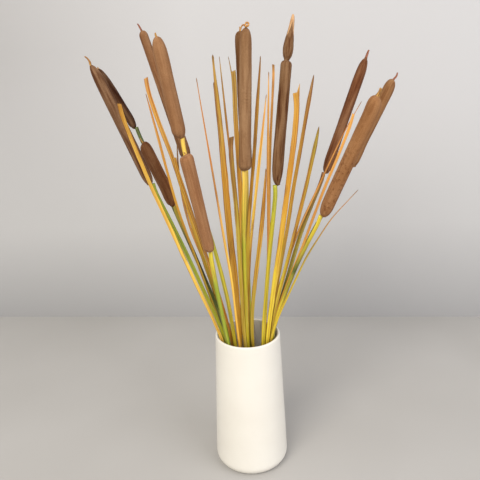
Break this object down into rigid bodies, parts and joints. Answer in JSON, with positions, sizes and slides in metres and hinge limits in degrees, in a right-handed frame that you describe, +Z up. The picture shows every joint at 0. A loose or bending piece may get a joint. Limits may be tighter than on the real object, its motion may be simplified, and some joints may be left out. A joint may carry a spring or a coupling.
{
  "type": "cattail stems in a vase",
  "caption": "Dried cattail stems with brown velvet seed heads and long strap leaves, standing in a plain tapered white ceramic vase.",
  "frame": {"origin": "middle of the vase's flat underside, on the surface it stands on", "axes": "+Z up along the vase's axis, -Y towards the viewer of the picture, +X to the viewer's right"},
  "size_m": [0.3877, 0.1626, 0.6073],
  "materials": {
    "vase": "satin",
    "head": "matte",
    "stem": "satin",
    "leaf": "satin"
  },
  "bodies": {
    "root": {"head_centre_back": "head", "head_centre_front": "head", "head_centre_right": "head", "head_far_left_back": "head", "head_far_left_front": "head", "head_far_right_back": "head", "head_far_right_front": "head", "head_left_inner": "head", "head_lower_left_front": "head", "head_right": "head", "head_upper_left_back": "head", "head_upper_left_front": "head", "leaf_amber_centre": "leaf", "leaf_bent_right": "leaf", "leaf_broad_left": "leaf", "leaf_brown_centre": "leaf", "leaf_brown_left": "leaf", "leaf_gold_left": "leaf", "leaf_gold_left_back": "leaf", "leaf_gold_right": "leaf", "leaf_golden_centre": "leaf", "leaf_inner_left": "leaf", "leaf_olive_centre_left": "leaf", "leaf_olive_left": "leaf", "leaf_orange_centre_back": "leaf", "leaf_orange_right": "leaf", "leaf_outer_left": "leaf", "leaf_pale_centre": "leaf", "leaf_pale_right": "leaf", "leaf_pink_left": "leaf", "leaf_slim_centre": "leaf", "leaf_slim_centre_left": "leaf", "leaf_slim_right": "leaf", "leaf_tan_centre": "leaf", "leaf_yellow_right": "leaf", "stem_centre_back": "stem", "stem_centre_front": "stem", "stem_centre_right": "stem", "stem_far_left_back": "stem", "stem_far_left_front": "stem", "stem_far_right_back": "stem", "stem_far_right_front": "stem", "stem_left_inner": "stem", "stem_lower_left_front": "stem", "stem_right": "stem", "stem_upper_left_back": "stem", "stem_upper_left_front": "stem", "vase": "vase"}
  },
  "joints": []
}
